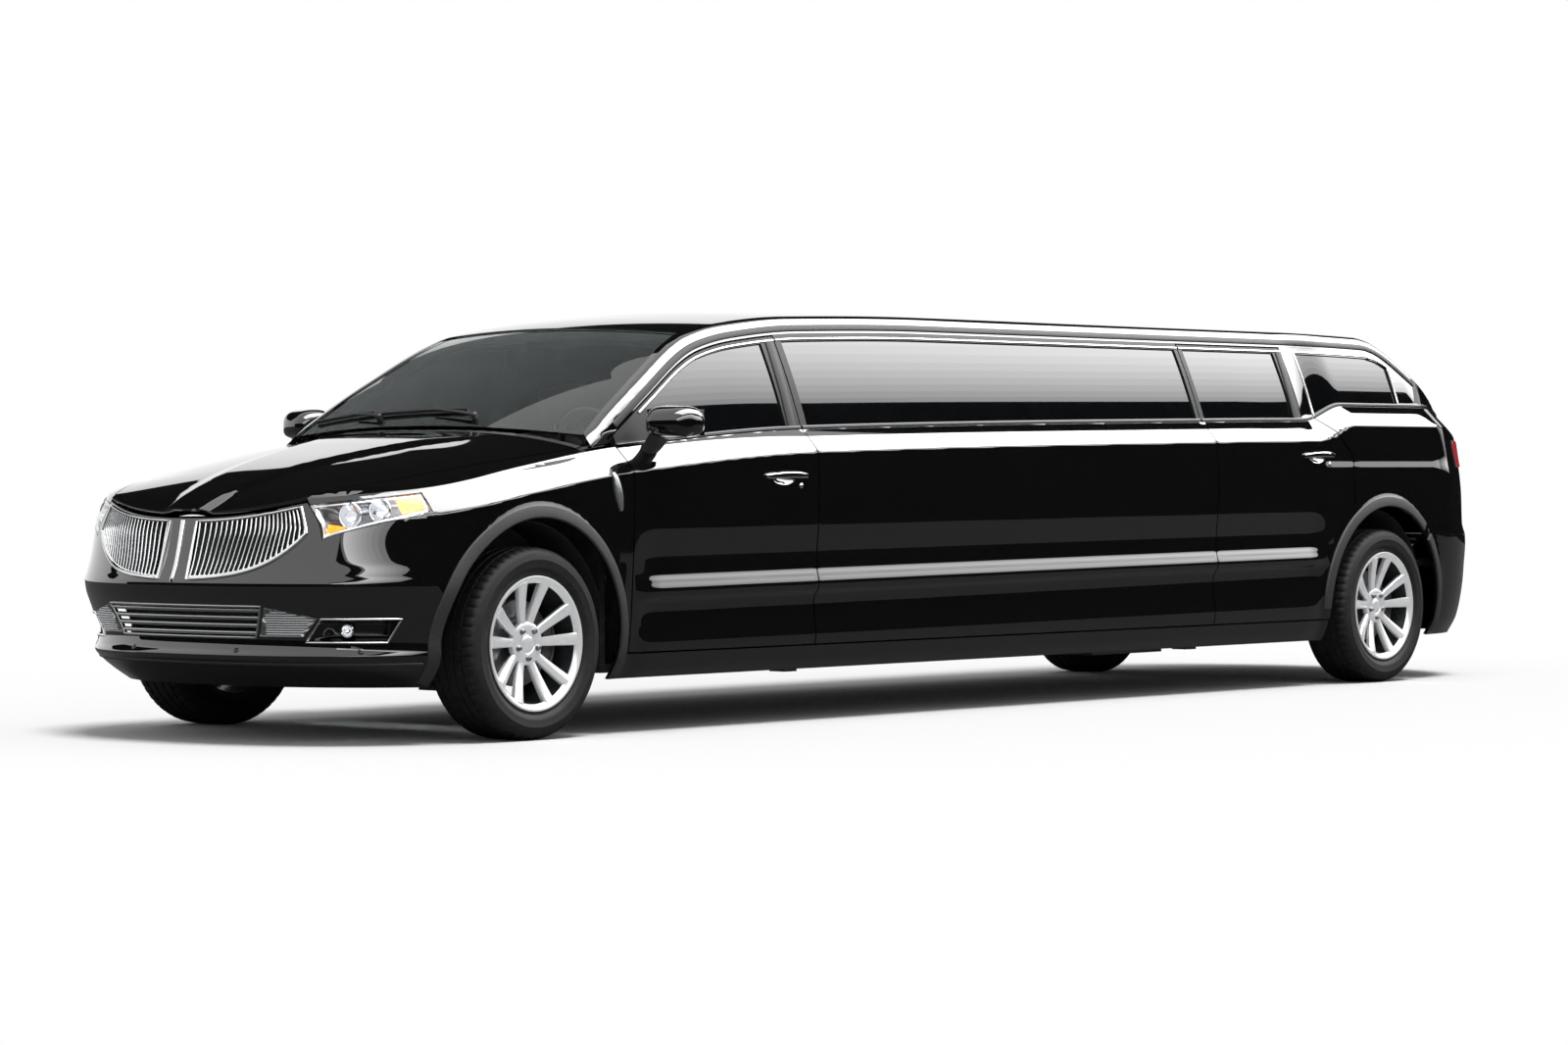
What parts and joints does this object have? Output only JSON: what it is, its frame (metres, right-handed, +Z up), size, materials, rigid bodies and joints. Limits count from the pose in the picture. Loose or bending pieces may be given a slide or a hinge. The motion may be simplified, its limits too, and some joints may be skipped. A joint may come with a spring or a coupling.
{
  "type": "stretch limousine",
  "caption": "Black stretch limousine on a lengthened crossover body, with opening doors, hood and tailgate, steered front wheels and a lounge cabin.",
  "frame": {"origin": "on the ground, under the middle of the length and width", "axes": "+X forward, +Y to the car's left, +Z up"},
  "size_m": [8.3204, 2.2704, 1.712],
  "materials": {
    "paint": "gloss black paint",
    "structure": "satin black",
    "chrome": "bright chrome",
    "bar_silver": "satin",
    "lamp_clear": "clear lens",
    "lamp_red": "red lens",
    "glass_tint": "dark tint",
    "glass_screen": "clear",
    "plastic": "fine grain",
    "leather": "dark leather",
    "wood": "varnished",
    "steel": "bare",
    "iron": "cast",
    "alloy": "machined",
    "tyre": "black rubber"
  },
  "bodies": {
    "body": {"floor_pan": "structure", "firewall": "structure", "aprons": "structure", "hinge_posts": "structure", "front_subframe": "structure", "struts": "steel", "rear_subframe": "structure", "engine": "iron", "exhaust": "steel", "front_bumper": "paint", "rear_bumper": "paint", "grille": "chrome", "lower_grille": "bar_silver", "fog_lamps": "lamp_clear", "headlamps": "lamp_clear", "fenders": "paint", "sills": "paint", "side_panels": "paint", "quarters": "paint", "roof": "paint", "windscreen": "glass_screen", "side_glass": "glass_tint", "cowl": "plastic", "tail_lamps": "lamp_red", "dashboard": "plastic", "steering_wheel": "plastic", "front_seats": "leather", "partition": "plastic", "lounge_seat": "leather", "bar_cabinet": "wood"},
    "hood": {"hood": "paint"},
    "tailgate": {"tailgate": "paint", "rear_glass": "glass_tint", "light_bar": "lamp_red"},
    "door_fl": {"door_fl": "paint", "glass_fl": "glass_tint", "mirror_fl": "paint"},
    "door_fr": {"door_fr": "paint", "glass_fr": "glass_tint", "mirror_fr": "paint"},
    "door_rl": {"door_rl": "paint", "glass_rl": "glass_tint"},
    "door_rr": {"door_rr": "paint", "glass_rr": "glass_tint"},
    "steer_l": {"knuckle_l": "iron"},
    "steer_r": {"knuckle_r": "iron"},
    "wheel_fl": {"tyre_fl": "tyre", "rim_fl": "alloy"},
    "wheel_fr": {"tyre_fr": "tyre", "rim_fr": "alloy"},
    "wheel_rl": {"tyre_rl": "tyre", "rim_rl": "alloy"},
    "wheel_rr": {"tyre_rr": "tyre", "rim_rr": "alloy"}
  },
  "joints": [
    {"name": "door_fl_hinge", "type": "hinge", "parent": "body", "child": "door_fl", "pos_m": [2.5225, 0.905, 0.7], "axis": [0, 0, -1], "range_deg": [0, 60]},
    {"name": "door_fr_hinge", "type": "hinge", "parent": "body", "child": "door_fr", "pos_m": [2.5225, -0.905, 0.7], "axis": [0, 0, 1], "range_deg": [0, 60]},
    {"name": "door_rl_hinge", "type": "hinge", "parent": "body", "child": "door_rl", "pos_m": [-1.5255, 0.905, 0.7], "axis": [0, 0, -1], "range_deg": [0, 60]},
    {"name": "door_rr_hinge", "type": "hinge", "parent": "body", "child": "door_rr", "pos_m": [-1.5255, -0.905, 0.7], "axis": [0, 0, 1], "range_deg": [0, 60]},
    {"name": "hood_hinge", "type": "hinge", "parent": "body", "child": "hood", "pos_m": [2.77909, 0, 1.12281], "axis": [0, -1, 0], "range_deg": [0, 50]},
    {"name": "tailgate_hinge", "type": "hinge", "parent": "body", "child": "tailgate", "pos_m": [-2.9785, 0, 1.64289], "axis": [0, 1, 0], "range_deg": [0, 70]},
    {"name": "steer_left", "type": "hinge", "parent": "body", "child": "steer_l", "pos_m": [3.1505, 0.66025, 0.369], "axis": [0, 0, 1], "range_deg": [-30, 30]},
    {"name": "steer_right", "type": "hinge", "parent": "body", "child": "steer_r", "pos_m": [3.1505, -0.66025, 0.369], "axis": [0, 0, 1], "range_deg": [-30, 30]},
    {"name": "wheel_fl_spin", "type": "hinge", "parent": "steer_l", "child": "wheel_fl", "pos_m": [3.1505, 0.826, 0.369], "axis": [0, 1, 0], "continuous": true},
    {"name": "wheel_fr_spin", "type": "hinge", "parent": "steer_r", "child": "wheel_fr", "pos_m": [3.1505, -0.826, 0.369], "axis": [0, 1, 0], "continuous": true},
    {"name": "wheel_rl_spin", "type": "hinge", "parent": "body", "child": "wheel_rl", "pos_m": [-2.8925, 0.826, 0.369], "axis": [0, 1, 0], "continuous": true},
    {"name": "wheel_rr_spin", "type": "hinge", "parent": "body", "child": "wheel_rr", "pos_m": [-2.8925, -0.826, 0.369], "axis": [0, 1, 0], "continuous": true}
  ],
  "couplings": [
    {"joint": "steer_right", "follows": "steer_left", "ratio": 1}
  ]
}
